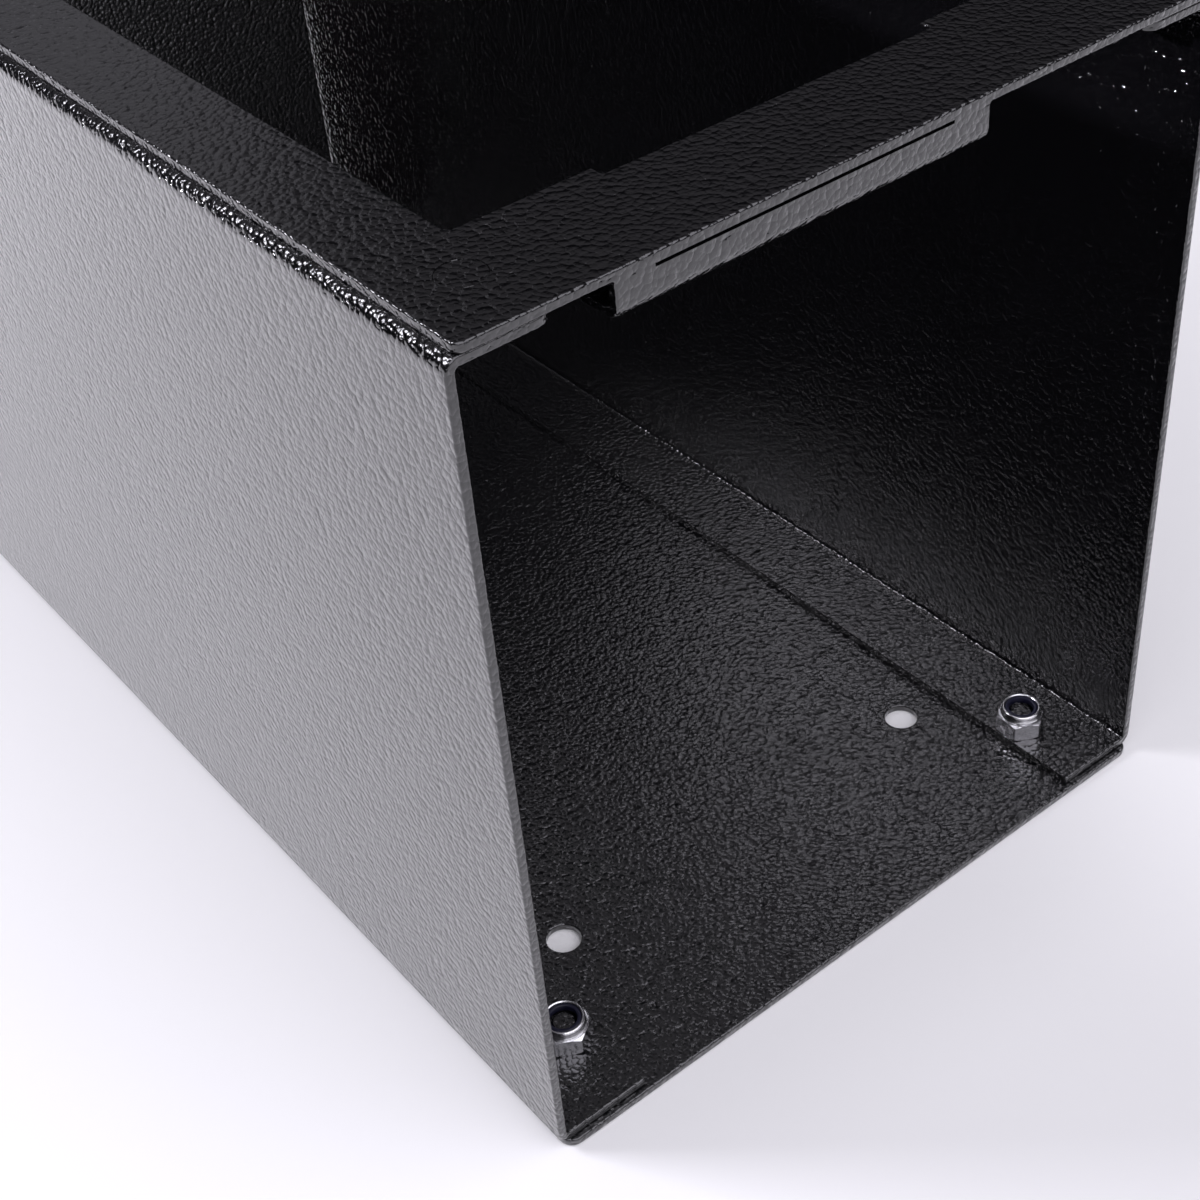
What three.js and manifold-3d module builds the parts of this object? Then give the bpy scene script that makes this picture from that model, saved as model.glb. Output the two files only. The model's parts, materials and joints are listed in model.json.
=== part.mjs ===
// A console safe: a case bolted together from folded steel sheet, which stands in a
// vehicle's centre console, with a hinged lid that a tubular cam lock holds shut.
// Millimetres, +Z up. The case's open end is at -Y and the hinge is at +Y.
// The origin is the centre of the case's footprint, on the underside of the bottom plate.
import * as THREE from 'three';
import { mergeVertices } from 'three/addons/utils/BufferGeometryUtils.js';
import Module from 'manifold-3d';

const wasm = await Module();
wasm.setup();

// Case
const sheet = 1.5; // steel sheet of every panel
const caseWidth = 132; // over the side walls
const caseDepth = 266; // from the side walls' front edges to the rear wall's outer face
const wallHeight = 143; // side wall, over its two flanges
const bendRadius = 3; // outside of a fold
const floorFlange = 17; // inward flange that lies on the bottom plate
const topFlange = 15.5; // inward flange under the top frame
const topFlangeCorner = 2.5; // front corner radius of the side walls' top flanges
const clearance = 0.3; // between pieces that fit together
const looseClearance = 0.5; // where a folded end stands beside another panel

// Bottom plate
const bottomInset = 0.8; // from a side wall's outer face to the plate's edge
const bottomOverhang = 1; // in front of the side walls
const bottomCorner = 2.5; // corner radius
const mountingHole = 3; // radius of the holes for screws into the console
const mountingInset = 25.7; // case's outer face to a mounting hole
const mountingSetback = 32.7; // front or rear edge of the walls to a mounting hole

// Top frame
const topInset = 1.65; // from a side wall's outer face to the frame's edge
const topOverhang = 0.25; // in front of the side walls
const topCorner = 1.5; // corner radius
const sideStrip = 15.8; // case's outer face to the opening
const frontStrip = 21.4; // front edge of the walls to the opening
const rearStrip = 28; // opening to the rear edge
const recessDepth = 2.3; // the opening is this much longer along its middle
const recessStart = 37.6; // case's outer face to the end of that recess
const openingCorner = 1; // corner radius

// Catch lip, folded down from the front edge of the top frame and then back under it
const lipStart = 23.8; // left outer face of the case to the lip
const lipWidth = 61.6;
const lipDrop = 5.6; // below the frame's underside
const lipReturn = 12; // depth of its lower flange
const lipBend = 2.2; // outside of its lower fold
const slotStart = 6; // left end of the lip to the slot
const slotWidth = 49;
const slotHeight = 1;

// Rear wall
const rearFlangeSetback = 1; // between its flanges and those of the side walls

// Pressed-in studs with nylon-insert lock nuts
const studRadius = 2.35;
const studHeadRadius = 3.3;
const studHeadThickness = 0.7;
const studHeadSink = 0.1; // below the plate's face
const studSetback = 15; // front or rear edge to a stud of the bottom plate
const studInset = 12.7; // case's outer face to a stud of the bottom plate
const topStudSetback = 12; // front edge to a stud of the top frame
const topStudInset = 11.2; // case's outer face to a stud of the top frame
const rearStudSpread = 30; // case's middle to a stud of the rear wall's flange
const rearStudInset = 9.5; // rear face to that stud
const studTip = 0.6; // chamfer of a stud's end
const studRecess = 1.2; // a stud's end below the rim of its nut's collar
const nutAcrossFlats = 8;
const nutHexHeight = 3.5;
const nutChamfer = 0.5;
const nutCollarHeight = 1.5;
const nutCollarRadius = 3.55;
const nutCollarWall = 0.45;
const nutCollarRim = 0.3; // curl of the collar over the nylon
const nylonBore = 2.2;
const nylonSink = 0.2; // below the collar's rim
const nylonLip = 0.7; // thickness of the nylon over a stud's end
const nylonGap = 0.1; // round the nylon and inside it

// Hinge
const pinRadius = 1.2;
const leafThickness = 1;
const leafDepth = 16; // hinge axis to a leaf's edge
const hingeInset = 8.2; // lid's side to the hinge's end
const knuckleCount = 9; // on the two leaves together
const hingeSetback = 19; // hinge axis to the case's rear face
const openAngle = THREE.MathUtils.degToRad(104); // from shut to fully open
const pinHeadThickness = 0.8;
const pinHeadInset = 0.4; // pin's head inside the knuckles' outline
const rivetCount = 4; // in each leaf
const rivetInset = 8; // end of a leaf to its first rivet
const rivetReach = 10; // hinge axis to the rivets
const rivetShank = 1.6;
const rivetHead = 3;
const rivetHeadHeight = 1;
const rivetTail = 2.6;
const rivetTailHeight = 1.2;
const rivetTailTaper = 0.4;

// Lid
const lidOverlap = 6; // over the strips at the sides
const lidFrontOverlap = 8; // over the front strip
const lidBend = 2.5; // outside of its folded rim
const rimGap = 0.4; // rim to the top frame when shut
const bumperRadius = 3;
const bumperChamfer = 0.6;
const bumperGap = 0.5; // bumper to the rim

// Lock
const lockSetback = 14.6; // edge of the opening to the lock's axis
const housingRadius = 9.3;
const housingFlange = 11.5;
const housingFlangeHeight = 2;
const housingFlangeChamfer = 0.8;
const housingChamfer = 0.5;
const lockNutAcrossFlats = 22;
const lockNutHeight = 3.5;
const plugRadius = 7;
const plugSink = 0.2; // plug's face below the housing's
const postRadius = 3.2; // middle post that a tubular key goes over
const keyTubeWall = 1.1;
const keyDepth = 6.2; // key's tube inside the plug
const keyNeck = 7; // key's tube outside the plug
const keyBowWidth = 25;
const keyBowHeight = 19;
const keyBowThickness = 2.4;
const keyBowCorner = 7;
const keyBowLap = 1.5; // of the bow over its tube's end
const keyBowHole = 3.6;
const keyBowHoleWall = 3; // hole to the bow's end
const camThickness = 2;
const camWidth = 11;
const camCorner = 2;
const camHub = 8; // radius round the square hole
const camBite = 7.6; // under the front strip
const camGap = 0.5; // cam to the frame's underside
const squareWidth = 6; // plug's square end
const camScrewShank = 1.7;
const camScrewHead = 3.5;
const camScrewHeadHeight = 1.8;
const camScrewHeadChamfer = 0.8;
const camScrewTip = 0.5; // chamfer of the screw's end
const camScrewDepth = 4; // into the plug, past the cam
const crossLength = 4; // of the screw's cross recess
const crossWidth = 0.9;
const crossDepth = 0.9;
const washerRadius = 5;
const washerThickness = 1;

// Sides of the round pieces
const roundSides = 32; // lock
const boltSides = 16; // screws, washers and the nuts' collars
const smallSides = 12; // studs, rivets, nylon rings and holes
const through = 1; // how far a cutting tool reaches past what it cuts

// Places that follow from the sizes
const side = caseWidth / 2;
const front = -caseDepth / 2;
const rear = caseDepth / 2;
const wallTop = sheet + wallHeight;
const frameTop = wallTop + sheet;
const openingHalf = side - sideStrip;
const openingFront = front + frontStrip;
const openingRear = rear - rearStrip;
const knuckleRadius = pinRadius + clearance + leafThickness;
const axisRise = knuckleRadius + clearance;
const hingeY = rear - hingeSetback;
const hingeZ = frameTop + axisRise;
const nutRadius = nutAcrossFlats / Math.sqrt(3);
const nutHeight = nutHexHeight + nutCollarHeight;

// Places in the lid's own frame, which has its origin on the hinge axis
const lidUnder = knuckleRadius + clearance;
const lidTop = lidUnder + sheet;
const lidHalf = openingHalf + lidOverlap;
const hingeLength = 2 * (lidHalf - hingeInset);
const lidFront = openingFront - lidFrontOverlap - hingeY;
// The lid's rear edge meets the fixed leaf when the lid is fully open
const lidHeel = (lidTop * Math.cos(openAngle) + axisRise - leafThickness - clearance)
  / Math.sin(openAngle);
const lockY = openingFront + lockSetback - hingeY;
const camTop = -axisRise - sheet - camGap;
const camBottom = camTop - camThickness;
const housingBottom = camTop + clearance;
const housingTop = lidTop + clearance + housingFlangeHeight;
const plugTop = housingTop - plugSink;
const camLength = lockSetback + recessDepth + camBite;

// Finishes
const finishes = {
  coat: { color: 0x1c1b1d, roughness: 0.45, metalness: 0.1 },
  zinc: { color: 0xc4c5ca, roughness: 0.25, metalness: 1 },
  nylon: { color: 0x17183a, roughness: 0.4, metalness: 0 },
  steel: { color: 0x8d8d92, roughness: 0.35, metalness: 1 },
  nickel: { color: 0xc9c6bf, roughness: 0.2, metalness: 1 },
  rubber: { color: 0x141414, roughness: 0.8, metalness: 0 },
};

function toSolid(geometry) {
  const bare = geometry.clone();
  bare.deleteAttribute('normal');
  bare.deleteAttribute('uv');
  const merged = mergeVertices(bare, 1e-4);
  return new wasm.Manifold(new wasm.Mesh({
    numProp: 3,
    vertProperties: new Float32Array(merged.getAttribute('position').array),
    triVerts: new Uint32Array(merged.getIndex().array),
  }));
}

function toGeometry(solid) {
  const mesh = solid.getMesh();
  const geometry = new THREE.BufferGeometry();
  geometry.setAttribute('position', new THREE.BufferAttribute(mesh.vertProperties, 3));
  geometry.setIndex(new THREE.BufferAttribute(mesh.triVerts, 1));
  return geometry;
}

function join(solids) {
  return solids.reduce((whole, solid) => whole.add(solid));
}

function cut(solid, tools) {
  return tools.reduce((rest, tool) => rest.subtract(tool), solid);
}

function block([x0, x1], [y0, y1], [z0, z1]) {
  const geometry = new THREE.BoxGeometry(x1 - x0, y1 - y0, z1 - z0);
  geometry.translate((x0 + x1) / 2, (y0 + y1) / 2, (z0 + z1) / 2);
  return toSolid(geometry);
}

// A round rod along Z
function rod(radius, [z0, z1], [x, y] = [0, 0], sides = smallSides) {
  const geometry = new THREE.CylinderGeometry(radius, radius, z1 - z0, sides);
  geometry.rotateX(Math.PI / 2);
  geometry.translate(x, y, (z0 + z1) / 2);
  return toSolid(geometry);
}

// A round rod along X, centred on the hinge axis
function axle(radius, [x0, x1], sides = boltSides) {
  const geometry = new THREE.CylinderGeometry(radius, radius, x1 - x0, sides);
  geometry.rotateZ(Math.PI / 2);
  geometry.translate((x0 + x1) / 2, 0, 0);
  return toSolid(geometry);
}

// A solid of revolution about Z, from [radius, height] points
function turned(points, sides = smallSides) {
  const geometry = new THREE.LatheGeometry(points.map(([r, h]) => new THREE.Vector2(r, h)), sides);
  geometry.rotateX(Math.PI / 2);
  return toSolid(geometry);
}

// A flat plate from an outline in X and Y
function plate(shape, [z0, z1], curveSegments = 6) {
  const geometry = new THREE.ExtrudeGeometry(shape, {
    depth: z1 - z0, bevelEnabled: false, curveSegments,
  });
  geometry.translate(0, 0, z0);
  return toSolid(geometry);
}

// A bar along Y from an outline in X and Z
function barAlongY(shape, [y0, y1], curveSegments = 6) {
  const geometry = new THREE.ExtrudeGeometry(shape, {
    depth: y1 - y0, bevelEnabled: false, curveSegments,
  });
  geometry.rotateX(Math.PI / 2);
  geometry.translate(0, y1, 0);
  return toSolid(geometry);
}

// A bar along X from an outline in Y and Z
function barAlongX(shape, [x0, x1], curveSegments = 6) {
  const geometry = new THREE.ExtrudeGeometry(shape, {
    depth: x1 - x0, bevelEnabled: false, curveSegments,
  });
  geometry.rotateX(Math.PI / 2);
  geometry.rotateZ(Math.PI / 2);
  geometry.translate(x0, 0, 0);
  return toSolid(geometry);
}

function roundedRectangle([x0, x1], [y0, y1], radius, path = new THREE.Shape()) {
  path.absarc(x1 - radius, y0 + radius, radius, -Math.PI / 2, 0);
  path.absarc(x1 - radius, y1 - radius, radius, 0, Math.PI / 2);
  path.absarc(x0 + radius, y1 - radius, radius, Math.PI / 2, Math.PI);
  path.absarc(x0 + radius, y0 + radius, radius, Math.PI, Math.PI * 1.5);
  path.closePath();
  return path;
}

// Section of a folded channel: a web along the second axis, with a flange at each end
// that points along the first axis. The web's outer face is at 0.
function channelOutline(lowFlange, highFlange, low, high) {
  const inner = bendRadius - sheet;
  const shape = new THREE.Shape();
  shape.moveTo(lowFlange, low);
  shape.lineTo(lowFlange, low + sheet);
  shape.absarc(bendRadius, low + bendRadius, inner, -Math.PI / 2, -Math.PI, true);
  shape.absarc(bendRadius, high - bendRadius, inner, Math.PI, Math.PI / 2, true);
  shape.lineTo(highFlange, high - sheet);
  shape.lineTo(highFlange, high);
  shape.absarc(bendRadius, high - bendRadius, bendRadius, Math.PI / 2, Math.PI);
  shape.absarc(bendRadius, low + bendRadius, bendRadius, Math.PI, Math.PI * 1.5);
  shape.closePath();
  return shape;
}

// Where the fasteners are, each with the end of its name
const sides = [['left', -1], ['right', 1]];
const bottomStuds = sides.flatMap(([word, sign]) => [
  { name: `front_${word}`, at: [sign * (side - studInset), front + studSetback] },
  { name: `rear_${word}`, at: [sign * (side - studInset), rear - studSetback] },
  { name: `back_${word}`, at: [sign * rearStudSpread, rear - rearStudInset] },
]);
const topStuds = sides.flatMap(([word, sign]) => [
  { name: `front_${word}`, at: [sign * (side - topStudInset), front + topStudSetback] },
  { name: `rear_${word}`, at: [sign * (side - topStudInset), rear - studSetback] },
]);
const rivetPlaces = Array.from({ length: rivetCount }, (_, i) => {
  const span = hingeLength - 2 * rivetInset;
  return -span / 2 + (span * i) / (rivetCount - 1);
});

function studHoles(places, [z0, z1]) {
  return places.map(({ at }) => rod(studRadius + clearance, [z0 - through, z1 + through], at));
}

function mountingHoles() {
  const places = sides.flatMap(([, sign]) => [
    [sign * (side - mountingInset), front + mountingSetback],
    [sign * (side - mountingInset), rear - mountingSetback],
  ]);
  return places.map((at) => rod(mountingHole, [-through, sheet + through], at, boltSides));
}

function headPockets(places, [z0, z1]) {
  return places.map(({ at }) => rod(studHeadRadius + clearance, [z0, z1], at, boltSides));
}

function rivetHoles(y, [z0, z1]) {
  const reach = [z0 - through, z1 + through];
  return rivetPlaces.map((x) => rod(rivetShank + clearance, reach, [x, y]));
}

function bottomPlate() {
  const outline = roundedRectangle(
    [-side + bottomInset, side - bottomInset], [front - bottomOverhang, rear], bottomCorner);
  const pocket = studHeadThickness + studHeadSink;
  return cut(plate(outline, [0, sheet]), [
    ...studHoles(bottomStuds, [0, sheet]),
    ...headPockets(bottomStuds, [-through, pocket]),
    ...mountingHoles(),
  ]);
}

// The left wall is made, and the right one is its mirror image
function sideWall(sign) {
  const channel = barAlongY(channelOutline(floorFlange, topFlange, sheet, wallTop), [front, rear]);
  const notchFront = rear - sheet - looseClearance;
  const notch = block([sheet, caseWidth], [notchFront, rear + through], [0, frameTop]);
  const corner = new THREE.Shape();
  corner.moveTo(topFlange - topFlangeCorner, front - through);
  corner.lineTo(topFlange + through, front - through);
  corner.lineTo(topFlange + through, front + topFlangeCorner);
  corner.absarc(
    topFlange - topFlangeCorner, front + topFlangeCorner, topFlangeCorner, 0, -Math.PI / 2, true);
  corner.closePath();
  const offcut = plate(corner, [wallTop - sheet - through / 2, wallTop + through / 2]);
  const atLeft = cut(channel, [notch, offcut]).translate([-side, 0, 0]);
  const holes = [
    ...studHoles(bottomStuds, [0, sheet * 2]),
    ...studHoles(topStuds, [wallTop - sheet, frameTop]),
  ];
  return cut(sign < 0 ? atLeft : atLeft.mirror([1, 0, 0]), holes);
}

function rearWall() {
  const flangeHalf = side - floorFlange - rearFlangeSetback;
  const webHalf = side - sheet - clearance;
  const section = channelOutline(floorFlange, topFlange, sheet, wallTop);
  const channel = barAlongX(section, [-flangeHalf, flangeHalf]).mirror([0, 1, 0])
    .translate([0, rear, 0]);
  const cheek = (sign) => {
    const ends = [flangeHalf - 1, webHalf].map((x) => x * sign).sort((a, b) => a - b);
    return block(ends, [rear - sheet, rear], [sheet + bendRadius, wallTop - bendRadius]);
  };
  const ears = [-1, 1].map((sign) => {
    const ends = [flangeHalf, webHalf].map((x) => x * sign).sort((a, b) => a - b);
    return block(ends, [rear - sheet, rear], [sheet + clearance, wallTop - clearance]);
  });
  const folded = join([channel, cheek(-1), cheek(1), ...ears]);
  return cut(folded, [
    ...studHoles(bottomStuds, [0, sheet * 2]),
    ...rivetHoles(hingeY + rivetReach, [wallTop - sheet, frameTop]),
  ]);
}

// The opening, with its longer middle part, as a hole in the top frame's outline
function openingOutline() {
  const r = openingCorner;
  const recessHalf = side - recessStart;
  const hole = new THREE.Path();
  hole.absarc(openingHalf - r, openingFront + r, r, -Math.PI / 2, 0);
  hole.absarc(openingHalf - r, openingRear - r, r, 0, Math.PI / 2);
  hole.absarc(-openingHalf + r, openingRear - r, r, Math.PI / 2, Math.PI);
  hole.absarc(-openingHalf + r, openingFront + r, r, Math.PI, Math.PI * 1.5);
  hole.lineTo(-recessHalf, openingFront);
  hole.lineTo(-recessHalf, openingFront - recessDepth);
  hole.lineTo(recessHalf, openingFront - recessDepth);
  hole.lineTo(recessHalf, openingFront);
  hole.closePath();
  return hole;
}

// Section of the catch lip, which starts inside the top frame's sheet
function lipOutline() {
  const face = front - topOverhang;
  const low = wallTop - lipDrop;
  const start = wallTop + sheet / 2;
  const shape = new THREE.Shape();
  shape.moveTo(face, start);
  shape.absarc(face + lipBend, low + lipBend, lipBend, Math.PI, Math.PI * 1.5);
  shape.lineTo(face + lipReturn, low);
  shape.lineTo(face + lipReturn, low + sheet);
  shape.absarc(face + lipBend, low + lipBend, lipBend - sheet, Math.PI * 1.5, Math.PI, true);
  shape.lineTo(face + sheet, start);
  shape.closePath();
  return shape;
}

function topFrame() {
  const frameFront = front - topOverhang;
  const outline = roundedRectangle(
    [-side + topInset, side - topInset], [frameFront, rear], topCorner);
  outline.holes.push(openingOutline());
  const lipLeft = -side + lipStart;
  const slotLeft = lipLeft + slotStart;
  const lip = barAlongX(lipOutline(), [lipLeft, lipLeft + lipWidth]);
  const slot = block(
    [slotLeft, slotLeft + slotWidth], [frameFront - through, frameFront + sheet + through],
    [wallTop - slotHeight, wallTop]);
  const pocket = studHeadThickness + studHeadSink;
  return cut(join([plate(outline, [wallTop, frameTop]), lip]), [
    slot,
    ...studHoles(topStuds, [wallTop, frameTop]),
    ...headPockets(topStuds, [frameTop - pocket, frameTop + through]),
    ...rivetHoles(hingeY + rivetReach, [wallTop, frameTop]),
  ]);
}

// A stud of the bottom plate, standing on its flat head
function stud() {
  const head = studHeadSink + studHeadThickness;
  const end = 2 * sheet + nutHeight - studRecess;
  return turned([
    [0, studHeadSink], [studHeadRadius, studHeadSink], [studHeadRadius, head],
    [studRadius, head], [studRadius, end - studTip], [studRadius - studTip, end], [0, end],
  ]);
}

function lockNut() {
  const hex = rod(nutRadius, [0, nutHexHeight], [0, 0], 6);
  const flat = nutAcrossFlats / 2;
  const corners = turned([
    [0, 0], [flat, 0], [nutRadius, nutChamfer], [nutRadius, nutHexHeight - nutChamfer],
    [flat, nutHexHeight], [0, nutHexHeight],
  ]);
  const collar = turned([
    [0, nutHexHeight - nutChamfer], [nutCollarRadius, nutHexHeight - nutChamfer],
    [nutCollarRadius, nutHeight - nutCollarRim], [nutCollarRadius - nutCollarRim, nutHeight],
    [0, nutHeight],
  ], boltSides);
  const bore = [-through, nutHeight];
  const nylonRoom = [nutHexHeight - nutCollarRim, nutHeight + through];
  return cut(join([hex.intersect(corners), collar]), [
    rod(studRadius + clearance, bore),
    rod(nutCollarRadius - nutCollarWall, nylonRoom, [0, 0], boltSides),
  ]);
}

function nylonRing() {
  const outer = nutCollarRadius - nutCollarWall - nylonGap;
  const low = nutHexHeight - nutCollarRim + nylonGap;
  const high = nutHeight - nylonSink;
  const bore = studRadius + nylonGap;
  return turned([
    [bore, low], [outer, low], [outer, high],
    [nylonBore, high], [nylonBore, high - nylonLip], [bore, high - nylonLip], [bore, low],
  ]);
}

function knuckles(parity) {
  const pitch = hingeLength / knuckleCount;
  const spans = [];
  for (let i = 0; i < knuckleCount; i += 1) {
    if (i % 2 === parity) {
      const start = -hingeLength / 2 + i * pitch;
      spans.push([start + clearance / 2, start + pitch - clearance / 2]);
    }
  }
  return spans;
}

// A leaf lies between two heights and reaches from the axis to one side of it.
// Its own knuckles are cut open for the pin, and it is notched for the other leaf's.
function hingeLeaf(parity, direction, [low, high]) {
  const across = (near, far) => [near * direction, far * direction].sort((a, b) => a - b);
  const half = hingeLength / 2;
  const flat = block([-half, half], across(0, leafDepth), [low, high]);
  const barrels = knuckles(parity).map((span) => axle(knuckleRadius, span));
  const room = knuckleRadius + clearance;
  const notches = knuckles(1 - parity).map(([x0, x1]) => block(
    [x0 - clearance, x1 + clearance], across(-room, room), [-room - through, room + through]));
  const bore = axle(pinRadius + clearance, [-half - through, half + through]);
  const holes = rivetHoles(direction * rivetReach, [low, high]);
  return cut(join([flat, ...barrels]), [...notches, bore, ...holes]);
}

function hingePin() {
  const end = hingeLength / 2 + clearance;
  const head = knuckleRadius - pinHeadInset;
  const lap = pinHeadThickness / 2;
  return join([
    axle(pinRadius, [-end - lap, end + lap]),
    axle(head, [-end - pinHeadThickness, -end]),
    axle(head, [end, end + pinHeadThickness]),
  ]);
}

// A rivet whose domed head seats on one height and whose tail is set under another
function rivet(headSeat, tailSeat) {
  const tailEnd = tailSeat - rivetTailHeight;
  const dome = [0, 0.5, 1].map((turn) => {
    const angle = (turn * Math.PI) / 2;
    return [rivetHead * Math.cos(angle), headSeat + rivetHeadHeight * Math.sin(angle)];
  });
  dome[2][0] = 0;
  return turned([
    [0, tailEnd], [rivetTail - rivetTailTaper, tailEnd], [rivetTail, tailSeat],
    [rivetShank, tailSeat], [rivetShank, headSeat], ...dome,
  ]);
}

// A block whose top edges at the front and sides are rounded, open-ended at the back
function lidBlock(half, [y0, y1], [z0, z1], radius) {
  const across = new THREE.Shape();
  across.moveTo(-half, z0);
  across.lineTo(half, z0);
  across.absarc(half - radius, z1 - radius, radius, 0, Math.PI / 2);
  across.absarc(-half + radius, z1 - radius, radius, Math.PI / 2, Math.PI);
  across.closePath();
  const along = new THREE.Shape();
  along.moveTo(y0, z0);
  along.lineTo(y1, z0);
  along.lineTo(y1, z1);
  along.absarc(y0 + radius, z1 - radius, radius, Math.PI / 2, Math.PI);
  along.closePath();
  return barAlongY(across, [y0 - through, y1 + through])
    .intersect(barAlongX(along, [-half - through, half + through]));
}

function lidPanel() {
  const rimBottom = -axisRise + rimGap;
  const outer = lidBlock(lidHalf, [lidFront, lidHeel], [rimBottom, lidTop], lidBend);
  const hollow = lidBlock(
    lidHalf - sheet, [lidFront + sheet, lidHeel + through], [rimBottom - through, lidUnder],
    lidBend - sheet);
  const lockHole = [lidUnder - through, lidTop + through];
  return cut(outer, [
    hollow,
    rod(housingRadius + clearance, lockHole, [0, lockY], roundSides),
    ...rivetHoles(-rivetReach, [lidUnder, lidTop]),
  ]);
}

function lidBumper() {
  const high = lidUnder - clearance;
  const low = -axisRise + clearance;
  return turned([
    [0, low], [bumperRadius - bumperChamfer, low], [bumperRadius, low + bumperChamfer],
    [bumperRadius, high], [0, high],
  ]);
}

function lockHousing() {
  const seat = lidTop + clearance;
  const body = turned([
    [0, housingBottom], [housingRadius - housingChamfer, housingBottom],
    [housingRadius, housingBottom + housingChamfer], [housingRadius, seat],
    [housingFlange, seat], [housingFlange, housingTop - housingFlangeChamfer],
    [housingFlange - housingFlangeChamfer, housingTop], [0, housingTop],
  ], roundSides);
  const bore = [housingBottom - through, housingTop + through];
  return cut(body, [rod(plugRadius + clearance, bore, [0, 0], roundSides)]);
}

function lockRingNut() {
  const high = lidUnder - clearance;
  const low = high - lockNutHeight;
  const bore = [low - through, high + through];
  const hex = rod(lockNutAcrossFlats / Math.sqrt(3), [low, high], [0, 0], 6);
  return cut(hex, [rod(housingRadius + clearance, bore, [0, 0], roundSides)]);
}

function lockPlug() {
  const keyOuter = postRadius + clearance + keyTubeWall;
  const half = squareWidth / 2;
  const grooveFloor = plugTop - keyDepth - clearance;
  const groove = cut(
    rod(keyOuter + clearance, [grooveFloor, plugTop + through], [0, 0], boltSides),
    [rod(postRadius, [grooveFloor - through, plugTop + 2 * through], [0, 0], boltSides)]);
  const barrel = rod(plugRadius, [housingBottom, plugTop], [0, 0], roundSides);
  const square = block([-half, half], [-half, half], [camBottom, housingBottom + through]);
  const screwHole = rod(
    camScrewShank + clearance, [camBottom - through, camTop + camScrewDepth + clearance]);
  return cut(join([barrel, square]), [groove, screwHole]);
}

// The key, in the plug: a tube that fits round the post, and a flat bow with a hole
function key() {
  const inner = postRadius + clearance;
  const outer = inner + keyTubeWall;
  const low = plugTop - keyDepth;
  const neck = plugTop + keyNeck;
  const tube = turned([
    [inner, low], [outer, low], [outer, neck], [inner, neck], [inner, low],
  ], boltSides);
  const bowTop = neck - keyBowLap + keyBowHeight;
  const outline = roundedRectangle(
    [-keyBowWidth / 2, keyBowWidth / 2], [neck - keyBowLap, bowTop], keyBowCorner);
  const hole = new THREE.Path();
  hole.absarc(0, bowTop - keyBowHole - keyBowHoleWall, keyBowHole, 0, Math.PI * 2);
  outline.holes.push(hole);
  const bow = barAlongY(outline, [-keyBowThickness / 2, keyBowThickness / 2]);
  return join([tube, bow]);
}

// The cam points to +X while the lock is open, and to the front edge when it is shut
function lockCam() {
  const armStart = Math.asin(camWidth / 2 / camHub);
  const shape = new THREE.Shape();
  shape.absarc(0, 0, camHub, armStart, Math.PI * 2 - armStart);
  shape.lineTo(camLength - camCorner, -camWidth / 2);
  shape.lineTo(camLength, -camWidth / 2 + camCorner);
  shape.lineTo(camLength, camWidth / 2 - camCorner);
  shape.lineTo(camLength - camCorner, camWidth / 2);
  shape.closePath();
  const half = squareWidth / 2 + clearance;
  return cut(plate(shape, [camBottom, camTop], 12), [
    block([-half, half], [-half, half], [camBottom - through, camTop + through]),
  ]);
}

function camWasher() {
  const high = camBottom - clearance;
  const low = high - washerThickness;
  const bore = camScrewShank + clearance;
  return turned([[bore, low], [washerRadius, low], [washerRadius, high], [bore, high], [bore, low]]);
}

function camScrew() {
  const seat = camBottom - washerThickness - 2 * clearance;
  const low = seat - camScrewHeadHeight;
  const end = camTop + camScrewDepth;
  const screw = turned([
    [0, low], [camScrewHead - camScrewHeadChamfer, low],
    [camScrewHead, low + camScrewHeadChamfer], [camScrewHead, seat],
    [camScrewShank, seat], [camScrewShank, end - camScrewTip],
    [camScrewShank - camScrewTip, end], [0, end],
  ]);
  const long = [-crossLength / 2, crossLength / 2];
  const narrow = [-crossWidth / 2, crossWidth / 2];
  const deep = [low - through, low + crossDepth];
  return cut(screw, [block(long, narrow, deep), block(narrow, long, deep)]);
}

function piece(name, solid, finish) {
  const mesh = new THREE.Mesh(toGeometry(solid), new THREE.MeshStandardMaterial(finishes[finish]));
  mesh.name = name;
  return mesh;
}

// A set of like pieces, one for each named place: standing at a height, or hung from it
function pieceSet(name, solid, finish, places, z, hung = false) {
  return places.map((place) => {
    const mesh = piece(`${name}_${place.name}`, solid, finish);
    mesh.position.set(place.at[0], place.at[1], z);
    mesh.rotation.x = hung ? Math.PI : 0;
    return mesh;
  });
}

function rivetRow(name, y, headSeat, tailSeat) {
  const places = rivetPlaces.map((x, i) => ({ name: `${i + 1}`, at: [x, y] }));
  return pieceSet(name, rivet(headSeat, tailSeat), 'steel', places, 0);
}

function caseHinge() {
  const leafTop = -axisRise + leafThickness;
  const group = new THREE.Group();
  group.position.set(0, hingeY, hingeZ);
  group.add(
    piece('hinge_fixed_leaf', hingeLeaf(0, 1, [-axisRise, leafTop]), 'coat'),
    piece('hinge_pin', hingePin(), 'steel'),
    ...rivetRow('fixed_leaf_rivet', rivetReach, leafTop, -axisRise - 2 * sheet),
  );
  return group;
}

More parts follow.
